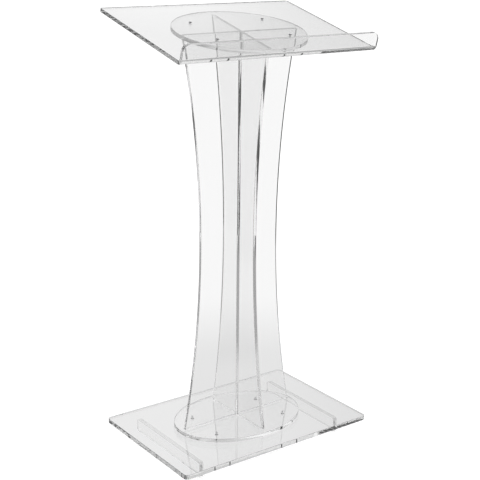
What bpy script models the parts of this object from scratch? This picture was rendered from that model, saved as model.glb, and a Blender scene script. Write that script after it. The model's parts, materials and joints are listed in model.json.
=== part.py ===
"""Presentation lectern built from clear acrylic sheet.

Two upright panels with hollowed sides slide into each other to make a cross-shaped stem. An oval
plate is cemented to each end of the stem. Four countersunk screws go up through the base plate into
the lower oval, and four go down through the tilted reading plate into the upper oval. The reading
plate is one sheet whose front edge is bent up into a paper lip. Two strips on edge carry the base.

Metres, +Z up. X is the width, +Y is the audience's side, called the rear, and -Y the reader's, called
the front. The origin is on the floor, under the middle of the base plate.
"""

import math

import bmesh
import bpy
from mathutils import Matrix, Vector

# Sheet stock and the film left for cement, or for a sliding fit, between two pieces
SHEET = 0.010
BASE_SHEET = 0.0127
JOINT_GAP = 0.0003
SLOT_CLEARANCE = 0.0003

# Base plate and the two strips under it
BASE_WIDTH = 0.6096
BASE_DEPTH = 0.4064
BASE_CORNER_RADIUS = 0.012
RAIL_HEIGHT = 0.0349
RAIL_SIDE_INSET = 0.0703
RAIL_END_INSET = 0.0450
RAIL_CORNER_RADIUS = 0.008

# Reading plate: its size is measured along the slope, and its height at the middle of the object
READING_HEIGHT = 1.1274
READING_TILT = math.radians(14.8)
READING_WIDTH = 0.5975
READING_DEPTH = 0.3870
READING_SHIFT = 0.0025
READING_CORNER_RADIUS = 0.005
LIP_HEIGHT = 0.0414
LIP_BEND_RADIUS = 0.0057
LIP_CORNER_RADIUS = 0.019

# Stem panels: widths at both ends and at the waist, halfway up
WIDE_END = 0.3545
WIDE_WAIST = 0.2494
DEEP_END = 0.2410
DEEP_WAIST = 0.1430

# Rims that the oval plates keep outside the ends of the stem
OVAL_SIDE_RIM = 0.0133
OVAL_FRONT_RIM = 0.0215

# Countersunk socket screws, the same eight times
SCREW_SPAN_X = 0.2270
SCREW_SPAN_Y = 0.1240
SCREW_RADIUS = 0.0025
SCREW_HEAD_RADIUS = 0.0048
SCREW_HEAD_SINK = 0.0002
SCREW_SOCKET_FLATS = 0.0030
SCREW_SOCKET_DEPTH = 0.0020
SCREW_CLEARANCE = 0.0003
SCREW_TIP_CHAMFER = 0.0006
HOLE_FLOOR = 0.0015

# Steps that round shapes are made in
ARC_STEPS = 8
SIDE_STEPS = 40
OVAL_STEPS = 96
SCREW_STEPS = 24

# Levels worked out from the sizes above
BASE_BOTTOM = RAIL_HEIGHT + JOINT_GAP
BASE_TOP = BASE_BOTTOM + BASE_SHEET
LOWER_OVAL_BOTTOM = BASE_TOP + JOINT_GAP
STEM_BOTTOM = LOWER_OVAL_BOTTOM + SHEET + JOINT_GAP
UPPER_OVAL_DROP = SHEET + JOINT_GAP
STEM_DROP = UPPER_OVAL_DROP + SHEET + JOINT_GAP
STEM_TOP = READING_HEIGHT - STEM_DROP / math.cos(READING_TILT)
LAP_LEVEL = (STEM_BOTTOM + STEM_TOP) / 2


# --- Scene and materials ---------------------------------------------------------------------


def clear_scene():
    for old in list(bpy.data.objects):
        bpy.data.objects.remove(old, do_unlink=True)


def principled(name, colour, roughness, metallic=0.0, transmission=0.0):
    material = bpy.data.materials.new(name)
    material.use_nodes = True
    shader = material.node_tree.nodes["Principled BSDF"]
    shader.inputs["Base Color"].default_value = (*colour, 1.0)
    shader.inputs["Roughness"].default_value = roughness
    shader.inputs["Metallic"].default_value = metallic
    shader.inputs["Transmission Weight"].default_value = transmission
    shader.inputs["IOR"].default_value = 1.49
    material.diffuse_color = (*colour, 1.0)
    return material


def acrylic(name):
    return principled(name, (0.95, 0.96, 0.96), 0.03, transmission=1.0)


def steel(name):
    return principled(name, (0.55, 0.55, 0.56), 0.3, metallic=1.0)


def add_object(name, mesh, material, parent=None):
    mesh.name = name
    mesh.materials.append(material)
    made = bpy.data.objects.new(name, mesh)
    bpy.context.scene.collection.objects.link(made)
    made.parent = parent
    return made


def mesh_from(bm):
    bmesh.ops.recalc_face_normals(bm, faces=bm.faces)
    mesh = bpy.data.meshes.new("mesh")
    bm.to_mesh(mesh)
    bm.free()
    return mesh


# --- Outlines, as lists of 2-D points that run anticlockwise ----------------------------------


def arc(centre, radius, start, end, steps=ARC_STEPS):
    """Points along an arc, with both ends; the angles are in degrees."""
    points = []
    for step in range(steps + 1):
        angle = math.radians(start + (end - start) * step / steps)
        points.append((centre[0] + radius * math.cos(angle), centre[1] + radius * math.sin(angle)))
    return points


def rounded_rectangle(width, height, radius):
    x = width / 2 - radius
    y = height / 2 - radius
    points = arc((x, y), radius, 0, 90)
    points += arc((-x, y), radius, 90, 180)
    points += arc((-x, -y), radius, 180, 270)
    points += arc((x, -y), radius, 270, 360)
    return points


def ellipse(width, height):
    points = []
    for step in range(OVAL_STEPS):
        angle = math.tau * step / OVAL_STEPS
        points.append((width / 2 * math.cos(angle), height / 2 * math.sin(angle)))
    return points


def half_width_at(z, end_width, waist_width):
    """Half of a stem panel's width: an arc through both ends, narrowest at the lap level."""
    half_length = LAP_LEVEL - STEM_BOTTOM
    sagitta = (end_width - waist_width) / 2
    radius = (half_length**2 + sagitta**2) / (2 * sagitta)
    return waist_width / 2 + radius - math.sqrt(radius**2 - (z - LAP_LEVEL) ** 2)


def stem_side(end_width, waist_width, top):
    """The right-hand side of a stem panel, from the bottom up to the given height."""
    points = []
    for step in range(SIDE_STEPS + 1):
        z = STEM_BOTTOM + (top - STEM_BOTTOM) * step / SIDE_STEPS
        points.append((half_width_at(z, end_width, waist_width), z))
    return points


# --- Solids ----------------------------------------------------------------------------------


def prism(outline, low, high):
    """Extrudes an outline along the third axis."""
    bm = bmesh.new()
    bottom = [bm.verts.new((x, y, low)) for x, y in outline]
    face = bm.faces.new(bottom)
    pushed = bmesh.ops.extrude_face_region(bm, geom=[face])
    lifted = [part for part in pushed["geom"] if isinstance(part, bmesh.types.BMVert)]
    bmesh.ops.translate(bm, vec=(0, 0, high - low), verts=lifted)
    return bm


def plate(outline, thickness):
    """A flat sheet that lies on the z = 0 plane."""
    return mesh_from(prism(outline, 0.0, thickness))


def cut_under_reading_plate(bm):
    """Cuts a stem panel off along the underside of the upper oval."""
    normal = Vector((0, -math.sin(READING_TILT), math.cos(READING_TILT)))
    cut = bmesh.ops.bisect_plane(
        bm,
        geom=list(bm.verts) + list(bm.edges) + list(bm.faces),
        dist=1e-7,
        plane_co=(0, 0, STEM_TOP),
        plane_no=normal,
        clear_outer=True,
    )
    rim = [part for part in cut["geom_cut"] if isinstance(part, bmesh.types.BMEdge)]
    bmesh.ops.edgeloop_fill(bm, edges=rim)


def stem_panel(end_width, waist_width, slot_up, across_x):
    """An upright panel with hollowed sides and a slot over half its height for the other one."""
    reach = end_width / 2 * math.tan(READING_TILT) + SHEET
    top = STEM_TOP + reach
    slot = SHEET / 2 + SLOT_CLEARANCE
    right = stem_side(end_width, waist_width, top)
    left = [(-x, z) for x, z in reversed(right)]
    if slot_up:
        floor = LAP_LEVEL - JOINT_GAP / 2
        notch = [(slot, top), (slot, floor), (-slot, floor), (-slot, top)]
        outline = right + notch + left
    else:
        roof = LAP_LEVEL + JOINT_GAP / 2
        notch = [(-slot, STEM_BOTTOM), (-slot, roof), (slot, roof), (slot, STEM_BOTTOM)]
        outline = right + left + notch
    bm = prism(outline, -SHEET / 2, SHEET / 2)
    upright = Matrix.Rotation(math.radians(90), 3, "X")
    turn = Matrix.Identity(3) if across_x else Matrix.Rotation(math.radians(90), 3, "Z")
    bmesh.ops.rotate(bm, cent=(0, 0, 0), matrix=turn @ upright, verts=bm.verts)
    cut_under_reading_plate(bm)
    return mesh_from(bm)


def corner_inset(distance, radius):
    """How far a rounded corner draws the side in, at this distance from the sheet's end."""
    if distance >= radius:
        return 0.0
    return radius - math.sqrt(radius**2 - (radius - distance) ** 2)


def reading_rows():
    """Cross rows of the bent sheet, rear to lip: half width, then top and bottom points as (y, z)."""
    front = READING_SHIFT - READING_DEPTH / 2
    rear = READING_SHIFT + READING_DEPTH / 2
    half = READING_WIDTH / 2
    rows = []
    for step in range(ARC_STEPS + 1):
        distance = READING_CORNER_RADIUS * (1 - math.cos(math.pi / 2 * step / ARC_STEPS))
        width = half - corner_inset(distance, READING_CORNER_RADIUS)
        rows.append((width, (rear - distance, 0.0), (rear - distance, -SHEET)))
    centre = (front + SHEET + LIP_BEND_RADIUS, LIP_BEND_RADIUS)
    inner = arc(centre, LIP_BEND_RADIUS, 270, 180)
    outer = arc(centre, LIP_BEND_RADIUS + SHEET, 270, 180)
    rows += [(half, above, below) for above, below in zip(inner, outer)]
    for step in range(ARC_STEPS, -1, -1):
        distance = LIP_CORNER_RADIUS * (1 - math.cos(math.pi / 2 * step / ARC_STEPS))
        width = half - corner_inset(distance, LIP_CORNER_RADIUS)
        height = LIP_HEIGHT - distance
        rows.append((width, (front + SHEET, height), (front, height)))
    return rows


def bent_sheet(rows):
    """Joins cross rows into one closed sheet, which is as wide at each row as the row says."""
    bm = bmesh.new()
    rings = []
    for width, (top_y, top_z), (low_y, low_z) in rows:
        corners = (
            (-width, top_y, top_z),
            (width, top_y, top_z),
            (width, low_y, low_z),
            (-width, low_y, low_z),
        )
        rings.append([bm.verts.new(corner) for corner in corners])
    bm.faces.new(rings[0])
    bm.faces.new(reversed(rings[-1]))
    for first, second in zip(rings, rings[1:]):
        for side in range(4):
            after = (side + 1) % 4
            bm.faces.new((first[side], first[after], second[after], second[side]))
    return mesh_from(bm)


# --- Screws and the holes that take them ------------------------------------------------------


def turned(rings):
    """Joins rings of points, top to bottom, and closes both ends."""
    bm = bmesh.new()
    loops = [[bm.verts.new(point) for point in ring] for ring in rings]
    bm.faces.new(loops[0])
    bm.faces.new(reversed(loops[-1]))
    for first, second in zip(loops, loops[1:]):
        count = len(first)
        for index in range(count):
            after = (index + 1) % count
            bm.faces.new((first[index], first[after], second[after], second[index]))
    return bm


def circle(radius, z):
    points = []
    for step in range(SCREW_STEPS):
        angle = math.tau * step / SCREW_STEPS
        points.append((radius * math.cos(angle), radius * math.sin(angle), z))
    return points


def hexagon(flats, z):
    """As many points as a circle has, on the outline of a hexagon."""
    points = []
    for step in range(SCREW_STEPS):
        angle = math.tau * step / SCREW_STEPS
        from_flat = (angle + math.pi / 6) % (math.pi / 3) - math.pi / 6
        radius = flats / 2 / math.cos(from_flat)
        points.append((radius * math.cos(angle), radius * math.sin(angle), z))
    return points


def screw_mesh(length):
    """A socket screw whose axis is Z, with its head's face just under z = 0 and its tip below."""
    face = -SCREW_HEAD_SINK
    cone = face - (SCREW_HEAD_RADIUS - SCREW_RADIUS)
    tip = -length
    rings = [
        hexagon(SCREW_SOCKET_FLATS, face - SCREW_SOCKET_DEPTH),
        hexagon(SCREW_SOCKET_FLATS, face),
        circle(SCREW_HEAD_RADIUS, face),
        circle(SCREW_RADIUS, cone),
        circle(SCREW_RADIUS, tip + SCREW_TIP_CHAMFER),
        circle(SCREW_RADIUS - SCREW_TIP_CHAMFER, tip),
    ]
    return mesh_from(turned(rings))


def hole_mesh(length, places):
    """One cutter for several countersunk holes that leave a clearance all round their screws."""
    mouth = SCREW_HEAD_RADIUS + SCREW_CLEARANCE
    bore = SCREW_RADIUS + SCREW_CLEARANCE
    rings = [
        circle(mouth, SHEET),
        circle(mouth, -SCREW_HEAD_SINK),
        circle(bore, -SCREW_HEAD_SINK - (mouth - bore)),
        circle(bore, -length - SCREW_CLEARANCE),
    ]
    joined = bmesh.new()
    for x, y in places:
        hole = mesh_from(turned(rings))
        hole.transform(Matrix.Translation((x, y, 0)))
        joined.from_mesh(hole)
        bpy.data.meshes.remove(hole)
    return mesh_from(joined)


def screw_places(rear):
    """Each screw's name and place in its own frame, where the rear is at +Y (1) or at -Y (-1)."""
    x = SCREW_SPAN_X / 2
    y = SCREW_SPAN_Y / 2 * rear
    return {
        "rear_left": (-x, y),
        "rear_right": (x, y),
        "front_left": (-x, -y),
        "front_right": (x, -y),
    }


def add_cutter(name, mesh, parent):
    cutter = bpy.data.objects.new(name, mesh)
    bpy.context.scene.collection.objects.link(cutter)
    cutter.parent = parent
    cutter.hide_render = True
    cutter.display_type = "WIRE"
    return cutter


def drill(target, cutter):
    boolean = target.modifiers.new("screw holes", "BOOLEAN")
    boolean.operation = "DIFFERENCE"
    boolean.solver = "EXACT"
    boolean.object = cutter


def shade_round(target):
    target.data.shade_smooth()
    target.data.set_sharp_from_angle(angle=math.radians(30))


def add_screws(prefix, length, parent, rear):
    for name, (x, y) in screw_places(rear).items():
        label = f"{prefix}_{name}"
        screw = add_object(label, screw_mesh(length), steel(f"{label} steel"), parent)
        screw.location = (x, y, 0)
        shade_round(screw)


# --- Sub-parts --------------------------------------------------------------------------------


def add_frame(name, location, turn_x):
    """An empty that the pieces on one face are placed from."""
    frame = bpy.data.objects.new(name, None)
    bpy.context.scene.collection.objects.link(frame)
    frame.location = location
    frame.rotation_euler = (turn_x, 0, 0)
    return frame


def add_rails():
    length = BASE_DEPTH - 2 * RAIL_END_INSET
    outline = rounded_rectangle(length, RAIL_HEIGHT, RAIL_CORNER_RADIUS)
    offset = BASE_WIDTH / 2 - RAIL_SIDE_INSET - BASE_SHEET / 2
    stand_up = Matrix.Rotation(math.radians(90), 3, "Z") @ Matrix.Rotation(math.radians(90), 3, "X")
    for name, x in (("base_rail_left", -offset), ("base_rail_right", offset)):
        bm = prism(outline, -BASE_SHEET / 2, BASE_SHEET / 2)
        bmesh.ops.rotate(bm, cent=(0, 0, 0), matrix=stand_up, verts=bm.verts)
        rail = add_object(name, mesh_from(bm), acrylic(f"{name} acrylic"))
        rail.location = (x, 0, RAIL_HEIGHT / 2)


def add_base_plate():
    outline = rounded_rectangle(BASE_WIDTH, BASE_DEPTH, BASE_CORNER_RADIUS)
    base = add_object("base_plate", plate(outline, BASE_SHEET), acrylic("base acrylic"))
    base.location.z = BASE_BOTTOM
    return base


def oval_outline():
    return ellipse(WIDE_END + 2 * OVAL_SIDE_RIM, DEEP_END + 2 * OVAL_FRONT_RIM)


def add_lower_oval():
    oval = add_object("lower_oval_plate", plate(oval_outline(), SHEET), acrylic("lower oval acrylic"))
    oval.location.z = LOWER_OVAL_BOTTOM
    shade_round(oval)
    return oval


def add_upper_oval(reading_frame):
    oval = add_object(
        "upper_oval_plate", plate(oval_outline(), SHEET), acrylic("upper oval acrylic"), reading_frame
    )
    oval.location.z = -UPPER_OVAL_DROP - SHEET
    shade_round(oval)
    return oval


def add_stem():
    wide = stem_panel(WIDE_END, WIDE_WAIST, slot_up=True, across_x=True)
    deep = stem_panel(DEEP_END, DEEP_WAIST, slot_up=False, across_x=False)
    shade_round(add_object("wide_stem_panel", wide, acrylic("wide panel acrylic")))
    shade_round(add_object("deep_stem_panel", deep, acrylic("deep panel acrylic")))


def add_reading_plate(reading_frame):
    sheet = bent_sheet(reading_rows())
    reading = add_object("reading_plate", sheet, acrylic("reading plate acrylic"), reading_frame)
    shade_round(reading)
    return reading


def main():
    clear_scene()
    base_frame = add_frame("base_underside", (0, 0, BASE_BOTTOM), math.pi)
    reading_frame = add_frame("reading_surface", (0, 0, READING_HEIGHT), READING_TILT)

    add_rails()
    base = add_base_plate()
    lower_oval = add_lower_oval()
    add_stem()
    upper_oval = add_upper_oval(reading_frame)
    reading = add_reading_plate(reading_frame)

    grip = SHEET - HOLE_FLOOR
    base_length = BASE_SHEET + JOINT_GAP + grip - SCREW_CLEARANCE
    reading_length = SHEET + JOINT_GAP + grip - SCREW_CLEARANCE
    places = screw_places(rear=1).values()
    base_holes = add_cutter("base_holes", hole_mesh(base_length, places), base_frame)
    reading_holes = add_cutter("reading_holes", hole_mesh(reading_length, places), reading_frame)
    drill(base, base_holes)
    drill(lower_oval, base_holes)
    drill(reading, reading_holes)
    drill(upper_oval, reading_holes)
    add_screws("base_screw", base_length, base_frame, rear=-1)
    add_screws("reading_screw", reading_length, reading_frame, rear=1)


main()
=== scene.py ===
"""Looks of a presentation lectern in clear acrylic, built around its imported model.

Every sheet is made again with polished, slightly rounded edges, a smooth bend and real screw holes.
Lengths are in metres. +Z is up, the reader stands on the -Y side, and the floor is at z = 0.
"""

import json
import math
import bmesh
import bpy
from bpy.props import FloatProperty, FloatVectorProperty, IntProperty, PointerProperty
from mathutils import Matrix, Vector


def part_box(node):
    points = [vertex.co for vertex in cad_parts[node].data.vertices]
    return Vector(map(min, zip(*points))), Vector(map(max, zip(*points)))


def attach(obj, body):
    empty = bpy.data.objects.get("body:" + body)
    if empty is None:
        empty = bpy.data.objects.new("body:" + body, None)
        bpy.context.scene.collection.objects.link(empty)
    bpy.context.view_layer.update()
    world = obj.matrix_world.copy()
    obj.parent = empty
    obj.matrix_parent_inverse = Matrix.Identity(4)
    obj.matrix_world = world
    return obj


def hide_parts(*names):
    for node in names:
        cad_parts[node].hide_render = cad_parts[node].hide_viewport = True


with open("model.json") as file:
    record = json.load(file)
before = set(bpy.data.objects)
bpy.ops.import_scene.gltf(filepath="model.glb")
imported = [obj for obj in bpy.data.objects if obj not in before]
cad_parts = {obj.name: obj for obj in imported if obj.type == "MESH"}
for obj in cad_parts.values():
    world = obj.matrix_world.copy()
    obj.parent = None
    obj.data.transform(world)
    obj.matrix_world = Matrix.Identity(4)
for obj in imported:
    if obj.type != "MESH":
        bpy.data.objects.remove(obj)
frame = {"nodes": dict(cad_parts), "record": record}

bl_info = {
    "name": "Clear Acrylic Lectern",
    "version": (1, 0, 0),
    "blender": (4, 5, 0),
    "location": "View3D > Sidebar > Lectern",
    "description": "Builds the polished sheets, the screws and the studio of an acrylic lectern",
    "category": "Object",
}

BODY = "root"
CUT_EDGE = "cut_edge"
CORNERS = ("front_left", "front_right", "rear_left", "rear_right")
SLOT_ZONE = 0.02  # points nearer than this to a stem panel's middle belong to its slot
SAME_LEVEL = 0.001
TOP_CUT = 0.002  # points nearer than this to a stem panel's top lie on its top cut


# --- What the frame says ----------------------------------------------------------------------


def points_of(node):
    return [vertex.co.copy() for vertex in frame["nodes"][node].data.vertices]


def mount(name):
    for entry in frame["record"]["mounts"]:
        if entry["name"] == name:
            return Vector(entry["pos_m"]), Vector(entry["axis"])
    raise RuntimeError(f"the record has no mount named {name}")


SURFACE_POINT, SURFACE_NORMAL = mount("reading_surface")
TILT = math.atan2(-SURFACE_NORMAL.y, SURFACE_NORMAL.z)
SLOPE = math.tan(TILT)
READING_SPACE = Matrix.Translation(SURFACE_POINT) @ Matrix.Rotation(TILT, 4, "X")
UPRIGHT = Matrix.Rotation(math.radians(90), 4, "X")
UPRIGHT_SIDEWAYS = Matrix.Rotation(math.radians(90), 4, "Z") @ UPRIGHT


def local_box(node, space):
    """A node's lowest and highest corners in another space."""
    inverse = space.inverted()
    points = [inverse @ point for point in points_of(node)]
    low = Vector([min(point[axis] for point in points) for axis in range(3)])
    high = Vector([max(point[axis] for point in points) for axis in range(3)])
    return low, high


def plain_box(node):
    low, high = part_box(node)
    return Vector(low), Vector(high)


def half_span_at(node, axis, height):
    """The largest distance from the middle plane of a node's points nearest to a height."""
    points = points_of(node)
    nearest = min(abs(point.z - height) for point in points if abs(point[axis]) > SLOT_ZONE)
    level = [point for point in points if abs(point.z - height) < nearest + SAME_LEVEL]
    return max(abs(point[axis]) for point in level)


# --- Properties -------------------------------------------------------------------------------


def length_setting(name, description, default, **limits):
    """A size in metres, for a property group."""
    return FloatProperty(
        name=name,
        description=description,
        default=default,
        precision=5,
        subtype="DISTANCE",
        unit="LENGTH",
        **limits,
    )


def angle_setting(name, description, degrees):
    """An angle, for a property group."""
    return FloatProperty(
        name=name,
        description=description,
        default=math.radians(degrees),
        subtype="ANGLE",
        unit="ROTATION",
    )


def colour_setting(name, description, default):
    """A colour, for a property group."""
    return FloatVectorProperty(
        name=name,
        description=description,
        default=default,
        min=0.0,
        max=1.0,
        size=3,
        subtype="COLOR",
    )


class LecternSheetSettings(bpy.types.PropertyGroup):
    arris: length_setting(
        "Arris",
        "Radius of the polished edge between a sheet's face and its cut edge",
        0.0009,
        min=0.0001,
        max=0.002,
    )
    arris_steps: IntProperty(
        name="Arris steps", description="Facets round an arris", default=3, min=1, max=8
    )
    base_corner: length_setting("Base corner radius", "Radius of the base plate's corners", 0.012)
    rail_corner: length_setting(
        "Strip corner radius", "Radius of the corners of the two strips under the base", 0.008
    )
    reading_corner: length_setting(
        "Reading plate corner radius", "Radius of the reading plate's rear corners", 0.005
    )
    lip_corner: length_setting(
        "Lip corner radius", "Radius of the paper lip's upper corners", 0.019
    )
    lip_bend: length_setting(
        "Lip bend radius", "Inner radius of the bend between the reading plate and its lip", 0.0057
    )
    slot_clearance: length_setting(
        "Slot clearance", "Gap on each side of a stem panel in the other panel's slot", 0.0003
    )
    tint: colour_setting(
        "Acrylic tint", "Colour that the acrylic lets through", (0.988, 0.988, 0.988)
    )
    absorbed: colour_setting(
        "Absorption colour",
        "Colour that is left after a long way through the acrylic",
        (0.57, 0.57, 0.57),
    )
    density: FloatProperty(
        name="Absorption density",
        description="How fast light fades inside the acrylic",
        default=0.5,
        min=0.0,
        max=50.0,
    )


class LecternScrewSettings(bpy.types.PropertyGroup):
    clearance: length_setting(
        "Hole clearance",
        "Gap between a screw and its hole; below zero, the screw bites into the acrylic",
        -0.0001,
    )
    head_sink: length_setting(
        "Head sink", "How far a screw's head lies under the sheet's face", 0.0002
    )
    shank_radius: length_setting("Thread radius", "Outer radius of the thread", 0.0025)
    thread_depth: length_setting("Thread depth", "Depth of the thread", 0.0004)
    thread_pitch: length_setting("Thread pitch", "Distance between two turns of the thread", 0.0008)
    socket_flats: length_setting("Socket across flats", "Width of the hexagonal socket", 0.003)
    socket_depth: length_setting("Socket depth", "Depth of the hexagonal socket", 0.002)
    colour: colour_setting("Steel colour", "Colour of the screws", (0.16, 0.16, 0.165))


class LecternStageSettings(bpy.types.PropertyGroup):
    floor_colour: colour_setting(
        "Floor colour", "Plain pale colour of the floor", (0.62, 0.62, 0.62)
    )
    floor_glow: FloatProperty(
        name="Floor glow",
        description="How far the floor is lifted towards white where the camera sees it directly",
        default=0.66,
        min=0.0,
        max=1.0,
    )
    floor_radius: length_setting("Floor radius", "Radius of the round floor", 30.0)
    # The white screen is painted into the world and the floor, and only mirrored rays see it.
    painted_screen_heading: angle_setting(
        "Painted screen heading",
        "Clockwise turn from +Y to the middle of the white screen behind the lectern",
        22.0,
    )
    camera_place: FloatVectorProperty(
        name="Camera place",
        description="Where the camera stands",
        default=(-1.6034, -2.2025, 1.3671),
        size=3,
        subtype="TRANSLATION",
        unit="LENGTH",
    )
    camera_heading: angle_setting("Camera heading", "Clockwise turn of the view from +Y", 36.125)
    camera_pitch: angle_setting("Camera pitch", "How far the view looks down", 16.358)
    camera_roll: angle_setting("Camera roll", "Turn of the picture about the view's axis", 0.534)
    camera_lens: FloatProperty(
        name="Camera lens",
        description="Focal length in millimetres on a 36 mm wide sensor",
        default=79.21,
        subtype="DISTANCE_CAMERA",
    )


def sheet_settings():
    return bpy.context.scene.lectern_sheets


def screw_settings():
    return bpy.context.scene.lectern_screws


def stage_settings():
    return bpy.context.scene.lectern_stage


# --- Outlines, as lists of 2-D points that run anticlockwise ----------------------------------

LEAST_COSINE = 0.2  # keeps a mitre from running away at a sharp corner


def arc(centre, radius, start, end, steps=16):
    """Points along an arc, with both ends; the angles are in degrees."""
    points = []
    for step in range(steps + 1):
        angle = math.radians(start + (end - start) * step / steps)
        points.append((centre[0] + radius * math.cos(angle), centre[1] + radius * math.sin(angle)))
    return points


def rounded_rectangle(low, high, low_radius, high_radius):
    """A rectangle with one radius for its two lower corners and one for its two upper corners."""
    left, bottom = low
    right, top = high
    points = arc((right - high_radius, top - high_radius), high_radius, 0, 90)
    points += arc((left + high_radius, top - high_radius), high_radius, 90, 180)
    points += arc((left + low_radius, bottom + low_radius), low_radius, 180, 270)
    points += arc((right - low_radius, bottom + low_radius), low_radius, 270, 360)
    return points


def ellipse(half_x, half_y, steps=288, centre=(0, 0)):
    points = []
    for step in range(steps):
        angle = math.tau * step / steps
        points.append((centre[0] + half_x * math.cos(angle), centre[1] + half_y * math.sin(angle)))
    return points


def circle(centre, radius, steps=32):
    return ellipse(radius, radius, steps, centre)


def inset(outline, distance):
    """The outline moved inwards, with mitred corners."""
    moved = []
    count = len(outline)
    for index, (x, y) in enumerate(outline):
        before = outline[index - 1]
        after = outline[(index + 1) % count]
        first = Vector((y - before[1], before[0] - x)).normalized()
        second = Vector((after[1] - y, x - after[0])).normalized()
        middle = (first + second).normalized()
        stretch = distance / max(LEAST_COSINE, middle.dot(first))
        moved.append((x - middle.x * stretch, y - middle.y * stretch))
    return moved


# --- Sheets -----------------------------------------------------------------------------------

SHARP_CORNER = math.radians(20)
CUT_REACH = 1e-7  # points nearer than this to a cut are taken to lie on it
ON_LINE = 1e-6


def ring_at(bm, outline, height):
    return [bm.verts.new((x, y, height)) for x, y in outline]


def join_rings(bm, low, high, faces_out=True):
    """A closed strip of quads between two rings of points; its faces point away from the ring."""
    made = []
    count = len(low)
    for index in range(count):
        after = (index + 1) % count
        quad = [low[index], low[after], high[after], high[index]]
        made.append(bm.faces.new(quad if faces_out else reversed(quad)))
    return made


def ring_edges(bm, ring):
    count = len(ring)
    return [bm.edges.get((ring[index], ring[(index + 1) % count])) for index in range(count)]


def fill_flat(bm, rings, up):
    """Fills a flat face between its outer ring and the rings of its holes."""
    edges = [edge for ring in rings for edge in ring_edges(bm, ring)]
    made = bmesh.ops.triangle_fill(bm, use_beauty=True, use_dissolve=False, edges=edges)
    faces = [part for part in made["geom"] if isinstance(part, bmesh.types.BMFace)]
    for face in faces:
        face.normal_update()
        if (face.normal.z > 0) != up:
            face.normal_flip()
    for edge in edges:
        edge.smooth = False


def cut_hole(bm, centre, profile, blind):
    """The wall of a hole, from a profile of (radius, height) pairs; returns its end rings."""
    rings = [ring_at(bm, circle(centre, radius), height) for radius, height in profile]
    upwards = profile[-1][1] > profile[0][1]
    for low, high in zip(rings, rings[1:]):
        join_rings(bm, low, high, faces_out=not upwards)
        for edge in ring_edges(bm, low) + ring_edges(bm, high):
            edge.smooth = False
    if blind:
        floor = bm.faces.new(rings[-1])
        floor.normal_update()
        if (floor.normal.z > 0) == upwards:
            floor.normal_flip()
    return rings[0], rings[-1]


def sheet(outline, low, high, holes=()):
    """A flat sheet between two heights, with rounded arrises and holes.

    A hole is (centre, profile, blind), and its profile starts at the face that it opens in.
    """
    arris = sheet_settings().arris
    steps = sheet_settings().arris_steps
    bm = bmesh.new()
    layer = bm.faces.layers.float.new(CUT_EDGE)
    levels = []
    for step in range(steps + 1):
        angle = math.pi / 2 * step / steps
        levels.append((arris * (1 - math.sin(angle)), low + arris * (1 - math.cos(angle))))
    levels += [(distance, high + low - height) for distance, height in reversed(levels)]
    rings = [ring_at(bm, inset(outline, distance), height) for distance, height in levels]
    for below, above in zip(rings, rings[1:]):
        for face in join_rings(bm, below, above):
            face[layer] = 1.0
    for ring in (rings[steps], rings[steps + 1]):
        for edge in ring_edges(bm, ring):
            edge.smooth = False
    mark_corners(bm, outline, rings)
    bottoms = [rings[0]]
    tops = [rings[-1]]
    for centre, profile, blind in holes:
        first, last = cut_hole(bm, centre, profile, blind)
        opens_low = abs(profile[0][1] - low) < abs(profile[0][1] - high)
        (bottoms if opens_low else tops).append(first)
        if not blind:
            (tops if opens_low else bottoms).append(last)
    fill_flat(bm, bottoms, up=False)
    fill_flat(bm, tops, up=True)
    for face in bm.faces:
        face.smooth = True
    return bm


def mark_corners(bm, outline, rings):
    """Marks the edges that run through the sheet at sharp corners of its outline."""
    count = len(outline)
    for index, (x, y) in enumerate(outline):
        before = Vector((x - outline[index - 1][0], y - outline[index - 1][1]))
        after = outline[(index + 1) % count]
        onward = Vector((after[0] - x, after[1] - y))
        if abs(before.angle(onward)) > SHARP_CORNER:
            for low, high in zip(rings, rings[1:]):
                bm.edges.get((low[index], high[index])).smooth = False


def score_bend(bm, bend_start, length, steps=20):
    """Cuts a flat sheet into narrow strips where it will be bent, so that the bend is round."""
    for step in range(steps + 1):
        place = (0, bend_start - length * step / steps, 0)
        parts = list(bm.verts) + list(bm.edges) + list(bm.faces)
        bmesh.ops.bisect_plane(
            bm, geom=parts, dist=CUT_REACH, plane_co=place, plane_no=(0, 1, 0)
        )
    for end in (bend_start, bend_start - length):
        for edge in bm.edges:
            if all(abs(vertex.co.y - end) < ON_LINE for vertex in edge.verts):
                edge.smooth = False


def finish_piece(name, bm, space, material, nodes):
    """Turns a piece's mesh into its object, in its place, and ties it to the frame."""
    mesh = bpy.data.meshes.new(name)
    bm.transform(space)
    bm.to_mesh(mesh)
    bm.free()
    finish_mesh(name, mesh, material, nodes)


def finish_mesh(name, mesh, material, nodes):
    mesh.materials.clear()
    mesh.materials.append(material)
    made = bpy.data.objects.new(name, mesh)
    bpy.context.scene.collection.objects.link(made)
    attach(made, BODY)
    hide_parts(*nodes)


# --- Shader groups and materials --------------------------------------------------------------

ACRYLIC_IOR = 1.49
RIPPLE_STRENGTH = 0.25
RIPPLE_DEPTH = 0.0008
GRAIN_SCALE = 900.0
GRAIN_SHADES = (0.7, 1.2)


def new_group(name, inputs, outputs):
    group = bpy.data.node_groups.new(name, "ShaderNodeTree")
    for label, kind, default in inputs:
        socket = group.interface.new_socket(name=label, in_out="INPUT", socket_type=kind)
        if default is not None:
            socket.default_value = default
    for label, kind in outputs:
        group.interface.new_socket(name=label, in_out="OUTPUT", socket_type=kind)
    return group


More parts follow.
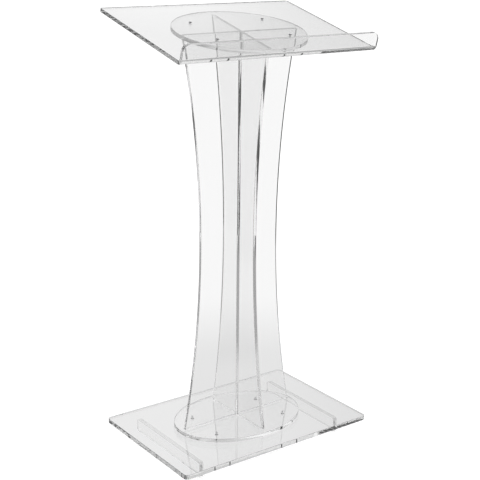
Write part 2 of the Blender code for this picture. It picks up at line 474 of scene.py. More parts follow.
class Nodes:
    """Adds nodes to a tree, sets their inputs and links them."""

    def __init__(self, tree):
        self.tree = tree

    def set(self, node, values):
        """Gives inputs plain values, or links them where the value is another node's output."""
        for key, value in values.items():
            if isinstance(value, bpy.types.NodeSocket):
                self.tree.links.new(value, node.inputs[key])
            else:
                node.inputs[key].default_value = value
        return node

    def add(self, kind, values=None, **attributes):
        node = self.tree.nodes.new(kind)
        for key, value in attributes.items():
            setattr(node, key, value)
        return self.set(node, values or {})

    def math(self, operation, first, second=0.0, clamp=False):
        values = {0: first, 1: second}
        node = self.add("ShaderNodeMath", values, operation=operation, use_clamp=clamp)
        return node.outputs[0]

    def vector_math(self, operation, first, second=(0.0, 0.0, 0.0)):
        return self.add("ShaderNodeVectorMath", {0: first, 1: second}, operation=operation).outputs

    def smooth_range(self, value, limits):
        """A value's range turned smoothly into another range."""
        node = self.add(
            "ShaderNodeMapRange", {"Value": value, **limits}, interpolation_type="SMOOTHSTEP"
        )
        return node.outputs["Result"]

    def mix(self, kind, factor, first, second, **attributes):
        """A mix of two numbers (FLOAT) or two colours (RGBA)."""
        values = {"Factor": factor, "A": first, "B": second}
        return self.add("ShaderNodeMix", values, data_type=kind, **attributes).outputs["Result"]


def handling_marks_group():
    """Roughness with faint patches where the polished face has been touched."""
    group = new_group(
        "Handling marks",
        [
            ("Vector", "NodeSocketVector", None),
            ("Patch Scale", "NodeSocketFloat", 6.0),
            ("Base Roughness", "NodeSocketFloat", 0.0),
            ("Mark Roughness", "NodeSocketFloat", 0.02),
        ],
        [("Roughness", "NodeSocketFloat")],
    )
    nodes = Nodes(group)
    given = nodes.add("NodeGroupInput").outputs
    patches = nodes.add(
        "ShaderNodeTexNoise",
        {"Vector": given["Vector"], "Scale": given["Patch Scale"], "Detail": 3.0, "Roughness": 0.6},
    )
    mask = nodes.add(
        "ShaderNodeMapRange", {"Value": patches.outputs["Fac"], "From Min": 0.52, "From Max": 0.72}
    )
    extra = nodes.math("MULTIPLY", mask.outputs["Result"], given["Mark Roughness"])
    total = nodes.math("ADD", extra, given["Base Roughness"])
    nodes.add("NodeGroupOutput", {"Roughness": total})
    return group


def polishing_ripple_group():
    """Low waves that polishing leaves on a cut edge, as a height."""
    group = new_group(
        "Polishing ripple",
        [
            ("Vector", "NodeSocketVector", None),
            ("Mask", "NodeSocketFloat", 1.0),
            ("Wave Scale", "NodeSocketFloat", 60.0),
        ],
        [("Height", "NodeSocketFloat")],
    )
    nodes = Nodes(group)
    given = nodes.add("NodeGroupInput").outputs
    waves = nodes.add(
        "ShaderNodeTexNoise",
        {"Vector": given["Vector"], "Scale": given["Wave Scale"], "Detail": 1.0, "Roughness": 0.4},
    )
    height = nodes.math("MULTIPLY", waves.outputs["Fac"], given["Mask"])
    nodes.add("NodeGroupOutput", {"Height": height})
    return group


def place_group(nodes, name, maker, values):
    """Places a shared shader group, which is made the first time."""
    group = bpy.data.node_groups.get(name) or maker()
    return nodes.add("ShaderNodeGroup", values, node_tree=group).outputs


def new_material(name):
    """A new material, with its nodes, its Principled shader and its output."""
    material = bpy.data.materials.new(name)
    material.use_nodes = True
    tree = material.node_tree
    return material, Nodes(tree), tree.nodes["Principled BSDF"], tree.nodes["Material Output"]


def clear_acrylic(name, shift=(0.0, 0.0, 0.0)):
    """Clear cast acrylic; shift moves the marks, so that no two sheets have the same ones."""
    chosen = sheet_settings()
    material, nodes, shader, out = new_material(name)
    coordinates = nodes.add("ShaderNodeTexCoord").outputs["Object"]
    mapping = nodes.add("ShaderNodeMapping", {"Vector": coordinates, "Location": shift})
    moved = mapping.outputs["Vector"]
    marks = place_group(nodes, "Handling marks", handling_marks_group, {"Vector": moved})
    edge = nodes.add("ShaderNodeAttribute", attribute_name=CUT_EDGE).outputs["Fac"]
    ripple = place_group(
        nodes, "Polishing ripple", polishing_ripple_group, {"Vector": moved, "Mask": edge}
    )
    bump = nodes.add(
        "ShaderNodeBump",
        {"Height": ripple["Height"], "Strength": RIPPLE_STRENGTH, "Distance": RIPPLE_DEPTH},
    )
    nodes.set(
        shader,
        {
            "Base Color": (*chosen.tint, 1.0),
            "Metallic": 0.0,
            "Roughness": marks["Roughness"],
            "IOR": ACRYLIC_IOR,
            "Transmission Weight": 1.0,
            "Normal": bump.outputs["Normal"],
        },
    )
    absorption = nodes.add(
        "ShaderNodeVolumeAbsorption", {"Color": (*chosen.absorbed, 1.0), "Density": chosen.density}
    )
    nodes.set(out, {"Volume": absorption.outputs["Volume"]})
    return material


def screw_steel():
    """Dark steel with a fine grain in its colour and its roughness."""
    material, nodes, shader, _ = new_material("Screw steel")
    coordinates = nodes.add("ShaderNodeTexCoord").outputs["Object"]
    noise = nodes.add("ShaderNodeTexNoise", {"Vector": coordinates, "Scale": GRAIN_SCALE})
    grain = noise.outputs["Fac"]
    colour = screw_settings().colour
    darker, lighter = [
        (*[min(1.0, value * shade) for value in colour], 1.0) for shade in GRAIN_SHADES
    ]
    rough = nodes.add("ShaderNodeMapRange", {"Value": grain, "To Min": 0.22, "To Max": 0.42})
    nodes.set(
        shader,
        {
            "Base Color": nodes.mix("RGBA", grain, darker, lighter),
            "Metallic": 1.0,
            "Roughness": rough.outputs["Result"],
        },
    )
    return material


# --- Holes ------------------------------------------------------------------------------------


def screw_size(node, space):
    """A screw's place, head radius and two ends in a space whose Z is the screw's axis."""
    low, high = local_box(node, space)
    return ((low.x + high.x) / 2, (low.y + high.y) / 2), (high.x - low.x) / 2, low.z, high.z


def through_hole(centre, head_radius, face, back):
    """A countersunk hole from one face of a sheet to the other."""
    chosen = screw_settings()
    mouth = head_radius + chosen.clearance
    bore = chosen.shank_radius + chosen.clearance
    inward = 1 if back > face else -1
    profile = [
        (mouth, face),
        (mouth, face + inward * chosen.head_sink),
        (bore, face + inward * (chosen.head_sink + mouth - bore)),
        (bore, back),
    ]
    return centre, profile, False


def blind_hole(centre, face, end):
    chosen = screw_settings()
    bore = chosen.shank_radius + chosen.clearance
    inward = 1 if end > face else -1
    return centre, [(bore, face), (bore, end + inward * chosen.clearance)], True


# --- Operators --------------------------------------------------------------------------------


class LECTERN_OT_base_plate(bpy.types.Operator):
    """Builds the base plate with its four countersunk holes"""

    bl_idname = "lectern.base_plate"
    bl_label = "Base plate"

    def execute(self, context):
        low, high = plain_box("base_plate")
        radius = sheet_settings().base_corner
        outline = rounded_rectangle(low.xy, high.xy, radius, radius)
        holes = []
        for corner in CORNERS:
            centre, head, _, _ = screw_size(f"base_screw_{corner}", Matrix())
            holes.append(through_hole(centre, head, low.z, high.z))
        bm = sheet(outline, low.z, high.z, holes)
        material = clear_acrylic("Base acrylic")
        finish_piece("polished_base_plate", bm, Matrix(), material, ["base_plate"])
        return {"FINISHED"}


class LECTERN_OT_base_rails(bpy.types.Operator):
    """Builds the two strips that carry the base plate"""

    bl_idname = "lectern.base_rails"
    bl_label = "Base strips"

    def execute(self, context):
        radius = sheet_settings().rail_corner
        for index, side in enumerate(("left", "right")):
            node = f"base_rail_{side}"
            low, high = local_box(node, UPRIGHT_SIDEWAYS)
            outline = rounded_rectangle(low.xy, high.xy, radius, radius)
            bm = sheet(outline, low.z, high.z)
            material = clear_acrylic(f"Strip acrylic {side}", shift=(0.3 + index, 0.1, 0.2))
            piece = f"polished_rail_{side}"
            finish_piece(piece, bm, UPRIGHT_SIDEWAYS, material, [node])
        return {"FINISHED"}


class LECTERN_OT_oval_plates(bpy.types.Operator):
    """Builds the oval plates at both ends of the stem, with their blind screw holes"""

    bl_idname = "lectern.oval_plates"
    bl_label = "Oval plates"

    def execute(self, context):
        for node, prefix, space, inwards in (
            ("lower_oval_plate", "base_screw", Matrix(), 1),
            ("upper_oval_plate", "reading_screw", READING_SPACE, -1),
        ):
            low, high = local_box(node, space)
            outline = ellipse(high.x, (high.y - low.y) / 2)
            holes = []
            for corner in CORNERS:
                centre, _, bottom, top = screw_size(f"{prefix}_{corner}", space)
                if inwards > 0:
                    holes.append(blind_hole(centre, low.z, top))
                else:
                    holes.append(blind_hole(centre, high.z, bottom))
            bm = sheet(outline, low.z, high.z, holes)
            material = clear_acrylic(f"Acrylic of {node}", shift=(1.7 * inwards, 0.4, 0.9))
            finish_piece(f"polished_{node}", bm, space, material, [node])
        return {"FINISHED"}


class LECTERN_OT_stem_panels(bpy.types.Operator):
    """Builds the two hollow-sided stem panels, each with the slot that takes the other"""

    bl_idname = "lectern.stem_panels"
    bl_label = "Stem panels"

    def execute(self, context):
        low, high = plain_box("wide_stem_panel")
        thickness = high.y - low.y
        stem = StemShape(low.z, high.z - thickness / 2 * SLOPE, thickness)
        self.build(stem, "wide_stem_panel", 0, slot_up=True)
        self.build(stem, "deep_stem_panel", 1, slot_up=False)
        return {"FINISHED"}

    def build(self, stem, node, axis, slot_up):
        waist = half_span_at(node, axis, stem.lap)
        end = half_span_at(node, axis, stem.bottom)
        cut_slope = SLOPE if axis == 1 else 0.0
        outline = stem.outline(waist, end, slot_up, cut_slope)
        bm = sheet(outline, -stem.thickness / 2, stem.thickness / 2)
        if axis == 0:
            stem.lean_top(bm)
        space = UPRIGHT if axis == 0 else UPRIGHT_SIDEWAYS
        material = clear_acrylic(f"Acrylic of {node}", shift=(0.2, 2.1 + axis, 0.5))
        finish_piece(f"polished_{node}", bm, space, material, [node])


TOP_ROUNDS = 30  # enough for the height where a hollow side meets the sloping top to settle


class StemShape:
    """What both stem panels share: their height, their thickness and where they lap."""

    def __init__(self, bottom, top, thickness):
        self.bottom = bottom
        self.top = top
        self.thickness = thickness
        self.lap = (bottom + top) / 2

    def half_width(self, height, waist, end):
        """Half a panel's width at a height; its sides are arcs, narrowest at the lap."""
        reach = self.lap - self.bottom
        sagitta = end - waist
        radius = (reach**2 + sagitta**2) / (2 * sagitta)
        return waist + radius - math.sqrt(radius**2 - (height - self.lap) ** 2)

    def side(self, waist, end, sign, slope, steps=120):
        """One hollow side from the bottom up to the sloping top."""
        top = self.top
        for _ in range(TOP_ROUNDS):
            top = self.top + sign * self.half_width(top, waist, end) * slope
        points = []
        for step in range(steps + 1):
            height = self.bottom + (top - self.bottom) * step / steps
            points.append((sign * self.half_width(height, waist, end), height))
        return points

    def outline(self, waist, end, slot_up, slope):
        right = self.side(waist, end, 1, slope)
        left = self.side(waist, end, -1, slope)[::-1]
        slot = self.thickness / 2 + sheet_settings().slot_clearance
        if slot_up:
            floor = self.lap - sheet_settings().slot_clearance / 2
            notch = [(slot, self.top), (slot, floor), (-slot, floor), (-slot, self.top)]
            return right + notch + left
        roof = self.lap + sheet_settings().slot_clearance / 2
        notch = [(-slot, self.bottom), (-slot, roof), (slot, roof), (slot, self.bottom)]
        return right + left + notch

    def lean_top(self, bm):
        """Slopes the top cut through the sheet's thickness, as the reading plate slopes."""
        for vertex in bm.verts:
            if vertex.co.y > self.top - TOP_CUT:
                vertex.co.y -= vertex.co.z * SLOPE


class LECTERN_OT_reading_plate(bpy.types.Operator):
    """Builds the reading plate as a flat blank, then bends its lip up"""

    bl_idname = "lectern.reading_plate"
    bl_label = "Reading plate"

    def execute(self, context):
        chosen = sheet_settings()
        low, high = local_box("reading_plate", READING_SPACE)
        thickness = -low.z
        bend = chosen.lip_bend
        bend_start = low.y + thickness + bend
        bend_length = (bend + thickness / 2) * math.pi / 2
        front = bend_start - bend_length - (high.z - bend)
        outline = rounded_rectangle(
            (low.x, front), (high.x, high.y), chosen.lip_corner, chosen.reading_corner
        )
        holes = []
        for corner in CORNERS:
            centre, head, _, _ = screw_size(f"reading_screw_{corner}", READING_SPACE)
            holes.append(through_hole(centre, head, 0.0, -thickness))
        bm = sheet(outline, -thickness, 0.0, holes)
        score_bend(bm, bend_start, bend_length)
        flat = bpy.data.meshes.new("flat reading plate")
        bm.to_mesh(flat)
        bm.free()
        material = clear_acrylic("Reading plate acrylic", shift=(0.7, 0.3, 1.1))
        values = {
            "Bend Start": bend_start,
            "Bend Radius": bend,
            "Bend Length": bend_length,
            "Material": material,
        }
        made = run_tree(flat, bent_sheet_tree(), values)
        made.transform(READING_SPACE)
        finish_mesh("polished_reading_plate", made, material, ["reading_plate"])
        return {"FINISHED"}


RIM = 0.00015
TIP_BEVEL = RIM * 4
SHARP_RIDGE = math.radians(25)
THREAD_STEPS = 20
THREAD_SIDES = 4


def hexagon(flats, height, steps):
    """Points round a hexagon, as many as the screw's round rings have."""
    points = []
    for step in range(steps):
        angle = math.tau * step / steps
        from_flat = (angle + math.pi / 6) % (math.pi / 3) - math.pi / 6
        radius = flats / 2 / math.cos(from_flat)
        points.append((radius * math.cos(angle), radius * math.sin(angle), height))
    return points


def screw_body(head_radius, length, steps=36):
    """One screw without its thread: Z is its axis, and its head's face lies under z = 0."""
    chosen = screw_settings()
    face = -chosen.head_sink
    core = chosen.shank_radius - chosen.thread_depth
    cone_end = face - (head_radius - core)
    bm = bmesh.new()
    rings = [
        hexagon(chosen.socket_flats, face - chosen.socket_depth, steps),
        hexagon(chosen.socket_flats, face - RIM, steps),
        hexagon(chosen.socket_flats + 2 * RIM, face, steps),
    ]
    for radius, height in (
        (head_radius - RIM, face),
        (head_radius, face - RIM),
        (core, cone_end),
        (core, -length + TIP_BEVEL),
        (core - TIP_BEVEL, -length),
    ):
        rings.append([(x, y, height) for x, y in circle((0, 0), radius, steps)])
    loops = [[bm.verts.new(point) for point in ring] for ring in rings]
    bm.faces.new(loops[0])
    bm.faces.new(reversed(loops[-1]))
    for upper, lower in zip(loops, loops[1:]):
        join_rings(bm, upper, lower)
    bmesh.ops.recalc_face_normals(bm, faces=bm.faces)
    mesh = bpy.data.meshes.new("screw body")
    bm.to_mesh(mesh)
    bm.free()
    mesh.shade_smooth()
    mesh.set_sharp_from_angle(angle=SHARP_RIDGE)
    return mesh, cone_end


def new_geometry_tree(name, *inputs):
    """A geometry nodes tree that takes a mesh and named inputs, and gives a mesh."""
    tree = bpy.data.node_groups.new(name, "GeometryNodeTree")
    for label, kind, default in (("Geometry", "NodeSocketGeometry", None), *inputs):
        socket = tree.interface.new_socket(name=label, in_out="INPUT", socket_type=kind)
        if default is not None:
            socket.default_value = default
    tree.interface.new_socket(name="Geometry", in_out="OUTPUT", socket_type="NodeSocketGeometry")
    return tree


def finish_tree(nodes, last, material):
    """Ends a geometry nodes tree with plain geometry in its material."""
    real = nodes.add("GeometryNodeRealizeInstances", {"Geometry": last.outputs[0]})
    dressed = nodes.add(
        "GeometryNodeSetMaterial", {"Geometry": real.outputs[0], "Material": material}
    )
    nodes.add("NodeGroupOutput", {0: dressed.outputs[0]})


def threaded_screws_tree():
    """Geometry nodes that wind a thread round a screw and set four of it at a grid's corners."""
    tree = new_geometry_tree(
        "Threaded screws",
        ("Core Radius", "NodeSocketFloat", 0.0021),
        ("Thread Depth", "NodeSocketFloat", 0.0004),
        ("Pitch", "NodeSocketFloat", 0.0008),
        ("Thread Top", "NodeSocketFloat", -0.003),
        ("Thread Length", "NodeSocketFloat", 0.014),
        ("Span X", "NodeSocketFloat", 0.2),
        ("Span Y", "NodeSocketFloat", 0.1),
        ("Material", "NodeSocketMaterial", None),
    )
    nodes = Nodes(tree)
    given = nodes.add("NodeGroupInput").outputs
    turns = nodes.math("DIVIDE", given["Thread Length"], given["Pitch"])
    helix = nodes.add(
        "GeometryNodeCurveSpiral",
        {
            "Resolution": THREAD_STEPS,
            "Rotations": turns,
            "Start Radius": given["Core Radius"],
            "End Radius": given["Core Radius"],
            "Height": given["Thread Length"],
        },
    )
    drop = nodes.math("SUBTRACT", given["Thread Top"], given["Thread Length"])
    place = nodes.add("ShaderNodeCombineXYZ", {"Z": drop})
    lowered = nodes.add(
        "GeometryNodeTransform", {"Geometry": helix.outputs[0], "Translation": place.outputs[0]}
    )
    ridge = nodes.add(
        "GeometryNodeCurvePrimitiveCircle",
        {"Resolution": THREAD_SIDES, "Radius": given["Thread Depth"]},
    )
    thread = nodes.add(
        "GeometryNodeCurveToMesh",
        {"Curve": lowered.outputs[0], "Profile Curve": ridge.outputs[0], "Fill Caps": True},
    )
    screw = nodes.add("GeometryNodeJoinGeometry")
    tree.links.new(thread.outputs[0], screw.inputs[0])
    tree.links.new(given["Geometry"], screw.inputs[0])
    grid = nodes.add(
        "GeometryNodeMeshGrid",
        {"Size X": given["Span X"], "Size Y": given["Span Y"], "Vertices X": 2, "Vertices Y": 2},
    )
    copies = nodes.add(
        "GeometryNodeInstanceOnPoints",
        {"Points": grid.outputs["Mesh"], "Instance": screw.outputs[0]},
    )
    finish_tree(nodes, copies, given["Material"])
    return tree


def bent_sheet_tree():
    """Geometry nodes that bend the front of a flat sheet up by a right angle, about its X axis."""
    tree = new_geometry_tree(
        "Bent sheet",
        ("Bend Start", "NodeSocketFloat", 0.0),
        ("Bend Radius", "NodeSocketFloat", 0.005),
        ("Bend Length", "NodeSocketFloat", 0.01),
        ("Material", "NodeSocketMaterial", None),
    )
    nodes = Nodes(tree)
    given = nodes.add("NodeGroupInput").outputs
    start, radius, length = given["Bend Start"], given["Bend Radius"], given["Bend Length"]
    position = nodes.add("GeometryNodeInputPosition")
    split = nodes.add("ShaderNodeSeparateXYZ", {0: position.outputs[0]}).outputs
    past = nodes.math("SUBTRACT", start, split["Y"])
    turn = nodes.math("DIVIDE", past, length, clamp=True)
    angle = nodes.math("MULTIPLY", turn, math.pi / 2)
    reach = nodes.math("SUBTRACT", radius, split["Z"])
    inward = nodes.math("MULTIPLY", reach, nodes.math("SINE", angle))
    down = nodes.math("MULTIPLY", reach, nodes.math("COSINE", angle))
    rise = nodes.math("MAXIMUM", nodes.math("SUBTRACT", past, length))
    height = nodes.math("ADD", nodes.math("SUBTRACT", radius, down), rise)
    back = nodes.math("SUBTRACT", start, inward)
    place = nodes.add("ShaderNodeCombineXYZ", {"X": split["X"], "Y": back, "Z": height})
    bent = nodes.add(
        "GeometryNodeSetPosition",
        {
            "Geometry": given["Geometry"],
            "Selection": nodes.math("GREATER_THAN", past),
            "Position": place.outputs[0],
        },
    )
    finish_tree(nodes, bent, given["Material"])
    return tree


def run_tree(mesh, tree, values):
    """The plain mesh that a geometry nodes tree makes of another."""
    holder = bpy.data.objects.new("holder", mesh)
    bpy.context.scene.collection.objects.link(holder)
    modifier = holder.modifiers.new("nodes", "NODES")
    modifier.node_group = tree
    for item in tree.interface.items_tree:
        if item.in_out == "INPUT" and item.name in values:
            modifier[item.identifier] = values[item.name]
    evaluated = holder.evaluated_get(bpy.context.evaluated_depsgraph_get())
    made = bpy.data.meshes.new_from_object(evaluated)
    bpy.data.objects.remove(holder)
    return made


class LECTERN_OT_screws(bpy.types.Operator):
    """Builds the countersunk socket screws, four in the base and four in the reading plate"""

    bl_idname = "lectern.screws"
    bl_label = "Screws"

    def execute(self, context):
        chosen = screw_settings()
        steel = screw_steel()
        tree = threaded_screws_tree()
        base_low, _ = plain_box("base_plate")
        turned_over = Matrix.Translation((0, 0, base_low.z)) @ Matrix.Rotation(math.pi, 4, "X")
        for prefix, space in (("base_screw", turned_over), ("reading_screw", READING_SPACE)):
            nodes = [f"{prefix}_{corner}" for corner in CORNERS]
            places = [screw_size(node, space) for node in nodes]
            _, head_radius, bottom, _ = places[0]
            body, cone_end = screw_body(head_radius, -bottom)
            values = {
                "Core Radius": chosen.shank_radius - chosen.thread_depth,
                "Thread Depth": chosen.thread_depth,
                "Pitch": chosen.thread_pitch,
                "Thread Top": cone_end - chosen.thread_pitch,
                "Thread Length": cone_end - chosen.thread_pitch - bottom - 2 * chosen.thread_pitch,
                "Span X": max(place[0][0] for place in places) * 2,
                "Span Y": max(place[0][1] for place in places) * 2,
                "Material": steel,
            }
            made = run_tree(body, tree, values)
            made.transform(space)
            made.name = f"{prefix}s"
            finish_mesh(f"threaded_{prefix}s", made, steel, nodes)
        return {"FINISHED"}


# --- Stage ------------------------------------------------------------------------------------

# Light that is caught inside a sheet turns at its faces many times before it leaves at an edge.
INNER_BOUNCES = 160
CLEAR_BOUNCES = 16

WHITE = (1.0, 1.0, 1.0, 1.0)
ROOM_LIGHT = (0.8, 0.8, 0.8, 1.0)
FLOOR_SIDES = 128
FLOOR_DROP = 0.0006

# Grey of the floor by distance from the lectern, as painted shade: a painted shadow near it
# straight through the acrylic, then a painted lit patch mirrored in it.
FLOOR_THROUGH_PAINTED_SHADOW = {"From Min": 0.34, "From Max": 1.25, "To Min": 0.8, "To Max": 1.0}
FLOOR_MIRRORED_PAINTED_LIGHT = {"From Min": 0.4, "From Max": 0.65, "To Min": 0.68, "To Max": 0.4}
# Outside this patch, mirrored floor is painted dark, but for a painted sheen on outer faces and
# near the painted screens.
PAINTED_PATCH_MIDDLE = (0.15, -0.2, 0.0)
PAINTED_PATCH_EDGE = {"From Min": 1.7, "From Max": 2.1}
OUTSIDE_PAINTED_DARK = 0.06
OUTSIDE_PAINTED_SHEEN = 0.68
OUTSIDE_PAINTED_SCREEN = 0.95

# Painted reflections: greys of a room that only mirrored rays see, as (height of the direction,
# level) pairs.
PAINTED_DARK_WALL = ((0.0, 0.06), (0.13, 0.08), (0.25, 0.06), (0.5, 0.06), (1.0, 0.4))
PAINTED_OPEN_WALL = ((0.0, 0.45), (0.13, 0.7), (0.25, 0.85), (0.5, 0.8), (1.0, 0.4))
PAINTED_WHITE_SCREEN = ((0.0, 0.95), (0.2, 0.9), (0.3, 0.45), (0.52, 0.4), (0.62, 0.9), (1.0, 0.5))
PAINTED_LAMP_BAND = ((0.2, 0.0), (0.34, 0.56), (0.47, 0.58), (0.5, 0.34), (0.56, 0.3), (0.7, 0.0))
# Headings are clockwise turns from +Y; a spread is the two cosines between which light fades in.
PAINTED_SCREEN_SPREAD = {"From Min": 0.6, "From Max": 0.99}
PAINTED_DARK_HEADING = math.radians(-36)
PAINTED_DARK_SPREAD = {"From Min": 0.72, "From Max": 0.93}
PAINTED_LAMP_HEADING = math.radians(5)
PAINTED_LAMP_SPREAD = {"From Min": 0.72, "From Max": 0.91}

LAMPS = (("key softbox", (-2.2, -1.6, 3.4), 26.0), ("fill softbox", (2.6, -1.2, 3.0), 14.0))
LAMP_SIZE = 2.4
LAMP_AIM = Vector((0, 0, 0.6))
SENSOR_WIDTH = 36.0
CAMERA_RANGE = (0.05, 200.0)


class LECTERN_OT_stage(bpy.types.Operator):
    """Builds the floor, the light and the camera"""

    bl_idname = "lectern.stage"
    bl_label = "Stage"

    def execute(self, context):
        chosen = stage_settings()
        self.floor(chosen)
        self.world()
        self.lamps()
        self.camera(chosen)
        scene = context.scene
        scene.view_settings.view_transform = "Standard"
        scene.cycles.max_bounces = INNER_BOUNCES
        scene.cycles.transmission_bounces = INNER_BOUNCES
        scene.cycles.glossy_bounces = INNER_BOUNCES
        scene.cycles.transparent_max_bounces = CLEAR_BOUNCES
        return {"FINISHED"}

    def floor(self, chosen):
        bm = bmesh.new()
        bm.faces.new(ring_at(bm, circle((0, 0), chosen.floor_radius, FLOOR_SIDES), -FLOOR_DROP))
        mesh = bpy.data.meshes.new("floor")
        bm.to_mesh(mesh)
        bm.free()
        mesh.materials.append(self.floor_material(chosen))
        made = bpy.data.objects.new("floor", mesh)
        bpy.context.scene.collection.objects.link(made)

    def turned_rays(self, nodes):
        """The light path, and one for rays that faces have mirrored at least once."""
        path = nodes.add("ShaderNodeLightPath").outputs
        return path, nodes.math("GREATER_THAN", path["Glossy Depth"], 0.5)

    def share_towards(self, nodes, vector, heading, spread):
        """How far a place or direction lies along a heading or its opposite, from 0 to 1."""
        level = nodes.vector_math("MULTIPLY", vector, (1.0, 1.0, 0.0))[0]
        towards = (math.sin(heading), math.cos(heading), 0.0)
        cosine = nodes.vector_math("DOT_PRODUCT", nodes.vector_math("NORMALIZE", level)[0], towards)
        return nodes.smooth_range(nodes.math("ABSOLUTE", cosine["Value"]), spread)

    def floor_material(self, chosen):
        """A pale floor for the camera; through and in the acrylic, a glowing floor with grey zones
        of painted shadow and painted reflections.
        """
        material, nodes, shader, out = new_material("Pale floor with painted shade and reflections")
        path, turned = self.turned_rays(nodes)
        glow = nodes.math("MULTIPLY", path["Is Camera Ray"], chosen.floor_glow)
        nodes.set(
            shader,
            {
                "Base Color": (*chosen.floor_colour, 1.0),
                "Roughness": 0.9,
                "Specular IOR Level": 0.0,
                "Emission Color": WHITE,
                "Emission Strength": glow,
            },
        )
        place = nodes.add("ShaderNodeTexCoord").outputs["Object"]
        distance = nodes.vector_math("LENGTH", place)["Value"]
        # Painted reflections: mirrored rays see a painted lit patch round the lectern, and painted
        # dark beyond it.
        off_middle = nodes.vector_math("DISTANCE", place, PAINTED_PATCH_MIDDLE)["Value"]
        beyond_painted_patch = nodes.smooth_range(off_middle, PAINTED_PATCH_EDGE)
        # A painted sheen for outer faces, and painted screen reflections, in the painted dark zone.
        painted_sheen = nodes.math("MULTIPLY_ADD", path["Is Reflection Ray"], OUTSIDE_PAINTED_SHEEN)
        painted_sheen.node.inputs[2].default_value = OUTSIDE_PAINTED_DARK
        screens = self.share_towards(nodes, place, chosen.painted_screen_heading, PAINTED_SCREEN_SPREAD)
        painted_surround = nodes.add(
            "ShaderNodeMapRange", {"Value": screens, "To Min": painted_sheen, "To Max": OUTSIDE_PAINTED_SCREEN}
        )
        # Painted light: the mirrored floor is lighter near the lectern.
        patch = nodes.smooth_range(distance, FLOOR_MIRRORED_PAINTED_LIGHT)
        mirrored = nodes.mix("FLOAT", beyond_painted_patch, patch, painted_surround.outputs["Result"])
        # Painted shadow: straight rays through the acrylic see the floor darker near the lectern.
        straight = nodes.smooth_range(distance, FLOOR_THROUGH_PAINTED_SHADOW)
        level = nodes.mix("FLOAT", turned, straight, mirrored)
        # The painted shadow and the painted reflections glow as emission, for rays through and in
        # the acrylic.
        plain = nodes.add("ShaderNodeEmission", {"Strength": level})
        through = nodes.math("ADD", path["Is Transmission Ray"], path["Is Glossy Ray"], clamp=True)
        mixed = nodes.add(
            "ShaderNodeMixShader", {0: through, 1: shader.outputs[0], 2: plain.outputs[0]}
        )
        nodes.set(out, {"Surface": mixed.outputs[0]})
        return material

    def ramp(self, nodes, value, levels):
        """Grey levels along a value, as (value, level) pairs."""
        ramp = nodes.add("ShaderNodeValToRGB", {"Fac": value})
        stops = ramp.color_ramp.elements
        for index, (place, level) in enumerate(levels):
            stop = stops[index] if index < 2 else stops.new(place)
            stop.position = place
            stop.color = (level, level, level, 1.0)
        return ramp.outputs["Color"]

    def world(self):
        """A white room for straight rays, and walls, screens and a lamp band in greys for mirrored
        ones, as painted reflections.
        """
        world = bpy.data.worlds.new("Studio")
        bpy.context.scene.world = world
        world.use_nodes = True
        world.node_tree.nodes.clear()
        nodes = Nodes(world.node_tree)
        path, turned = self.turned_rays(nodes)
        direction = nodes.add("ShaderNodeTexCoord").outputs["Generated"]
        height = nodes.add("ShaderNodeSeparateXYZ", {0: direction}).outputs["Z"]
        # Painted dark walls and painted grey walls, seen only in reflections.
        painted_dark_share = self.share_towards(nodes, direction, PAINTED_DARK_HEADING, PAINTED_DARK_SPREAD)
        walls = nodes.mix(
            "RGBA", painted_dark_share, self.ramp(nodes, height, PAINTED_OPEN_WALL), self.ramp(nodes, height, PAINTED_DARK_WALL)
        )
        # Painted white screens, seen only in reflections.
        heading = stage_settings().painted_screen_heading
        screens = self.share_towards(nodes, direction, heading, PAINTED_SCREEN_SPREAD)
        room = nodes.mix("RGBA", screens, walls, self.ramp(nodes, height, PAINTED_WHITE_SCREEN))
        # A painted band of lamps that glows only in reflections and lights nothing.
        lamps = self.share_towards(nodes, direction, PAINTED_LAMP_HEADING, PAINTED_LAMP_SPREAD)
        painted_lit_room = nodes.mix(
            "RGBA", lamps, room, self.ramp(nodes, height, PAINTED_LAMP_BAND), blend_type="ADD"
        )
        straight = nodes.mix("RGBA", path["Is Diffuse Ray"], WHITE, ROOM_LIGHT)
        seen = nodes.mix("RGBA", turned, straight, painted_lit_room)
        background = nodes.add("ShaderNodeBackground", {"Color": seen})
        nodes.add("ShaderNodeOutputWorld", {"Surface": background.outputs[0]})

    def lamps(self):
        for name, place, watts in LAMPS:
            light = bpy.data.lights.new(name, "AREA")
            light.shape = "DISK"
            light.size = LAMP_SIZE
            light.energy = watts
            lamp = bpy.data.objects.new(name, light)
            bpy.context.scene.collection.objects.link(lamp)
            lamp.location = place
            lamp.rotation_euler = (LAMP_AIM - Vector(place)).to_track_quat("-Z", "Y").to_euler()

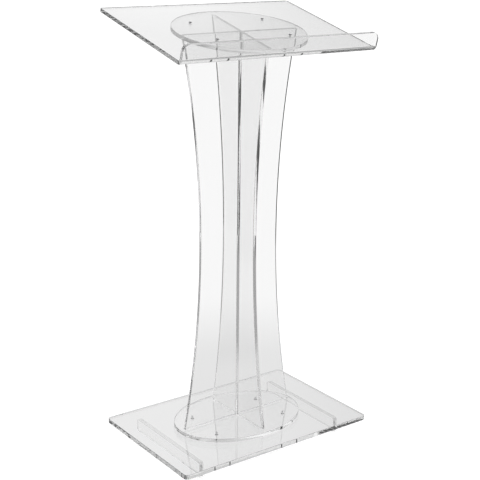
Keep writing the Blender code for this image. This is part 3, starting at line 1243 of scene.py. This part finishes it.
    def camera(self, chosen):
        data = bpy.data.cameras.new("camera")
        data.sensor_width = SENSOR_WIDTH
        data.lens = chosen.camera_lens
        data.clip_start, data.clip_end = CAMERA_RANGE
        camera = bpy.data.objects.new("camera", data)
        bpy.context.scene.collection.objects.link(camera)
        heading = Matrix.Rotation(-chosen.camera_heading, 4, "Z")
        look = Matrix.Rotation(math.pi / 2 - chosen.camera_pitch, 4, "X")
        roll = Matrix.Rotation(chosen.camera_roll, 4, "Z")
        camera.matrix_world = Matrix.Translation(chosen.camera_place) @ heading @ look @ roll
        bpy.context.scene.camera = camera


class LECTERN_PT_sidebar(bpy.types.Panel):
    """Lists the steps that build the lectern"""

    bl_idname = "LECTERN_PT_sidebar"
    bl_label = "Lectern"
    bl_space_type = "VIEW_3D"
    bl_region_type = "UI"
    bl_category = "Lectern"

    def draw(self, context):
        layout = self.layout
        for attribute in GROUPS:
            group = getattr(context.scene, attribute)
            box = layout.box()
            for name in group.__annotations__:
                box.prop(group, name)
        for operator in OPERATORS:
            layout.operator(operator.bl_idname)


OPERATORS = (
    LECTERN_OT_base_rails,
    LECTERN_OT_base_plate,
    LECTERN_OT_oval_plates,
    LECTERN_OT_stem_panels,
    LECTERN_OT_reading_plate,
    LECTERN_OT_screws,
    LECTERN_OT_stage,
)
GROUPS = {
    "lectern_sheets": LecternSheetSettings,
    "lectern_screws": LecternScrewSettings,
    "lectern_stage": LecternStageSettings,
}


def register():
    for kind in (*GROUPS.values(), *OPERATORS, LECTERN_PT_sidebar):
        bpy.utils.register_class(kind)
    for name, kind in GROUPS.items():
        setattr(bpy.types.Scene, name, PointerProperty(type=kind))


def unregister():
    for name in GROUPS:
        delattr(bpy.types.Scene, name)
    for kind in (LECTERN_PT_sidebar, *reversed(OPERATORS), *reversed(list(GROUPS.values()))):
        bpy.utils.unregister_class(kind)


def main():
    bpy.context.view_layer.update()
    register()
    bpy.ops.lectern.base_rails()
    bpy.ops.lectern.base_plate()
    bpy.ops.lectern.oval_plates()
    bpy.ops.lectern.stem_panels()
    bpy.ops.lectern.reading_plate()
    bpy.ops.lectern.screws()
    bpy.ops.lectern.stage()


if __name__ == "__main__":
    main()
